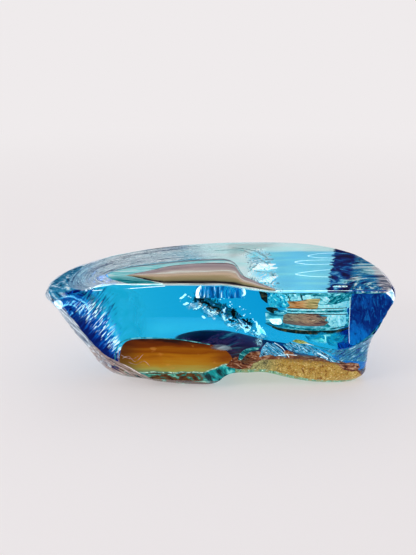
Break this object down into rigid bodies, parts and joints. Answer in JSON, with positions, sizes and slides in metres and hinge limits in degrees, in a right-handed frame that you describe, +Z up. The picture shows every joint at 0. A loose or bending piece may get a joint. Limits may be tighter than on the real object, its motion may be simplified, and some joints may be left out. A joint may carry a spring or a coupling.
{
  "type": "art glass paperweight",
  "caption": "Boat-shaped block of sea-blue glass with a polished flat top and front over an amber, gold and copper base, with a pale clear drum and leaf-shaped flecks behind the front face.",
  "frame": {"origin": "under the middle of the block, on the surface that it stands on", "axes": "+X to the right along the polished front, +Y towards the rounded back, +Z up; the polished front faces -Y"},
  "size_m": [0.1739, 0.086, 0.052],
  "materials": {
    "sea_glass": "clear blue glass, polished on top and front, as cast elsewhere",
    "clear_glass": "clear pale glass",
    "amber_glass": "streaked amber glass",
    "teal_glass": "glossy teal glass",
    "gold_glass": "gold lustre with fine grain",
    "copper_glass": "copper lustre with fine grain",
    "lustre_glass": "purple and navy lustre",
    "fume_glass": "milky grey-blue fume",
    "ice_glass": "pale blue glass with fine striations",
    "lime_glass": "yellow-green glass chip",
    "sand_glass": "mauve to tan lustre veil with a pale teal margin"
  },
  "bodies": {
    "root": {"sea_block": "sea_glass", "amber_lobe": "amber_glass", "lobe_skin": "teal_glass", "gold_foot": "gold_glass", "copper_band": "copper_glass", "foot_rim": "teal_glass", "lustre_layer": "lustre_glass", "drum_upper": "clear_glass", "drum_lower": "clear_glass", "upper_leaf": "gold_glass", "lower_leaf": "copper_glass", "clear_fold": "clear_glass", "fume_patch": "fume_glass", "ice_shard_left": "ice_glass", "ice_shard_right": "ice_glass", "green_chip": "lime_glass", "red_chip": "copper_glass", "teal_curl": "teal_glass", "copper_shard": "copper_glass", "copper_toe": "copper_glass", "sand_veil": "sand_glass"}
  },
  "joints": []
}
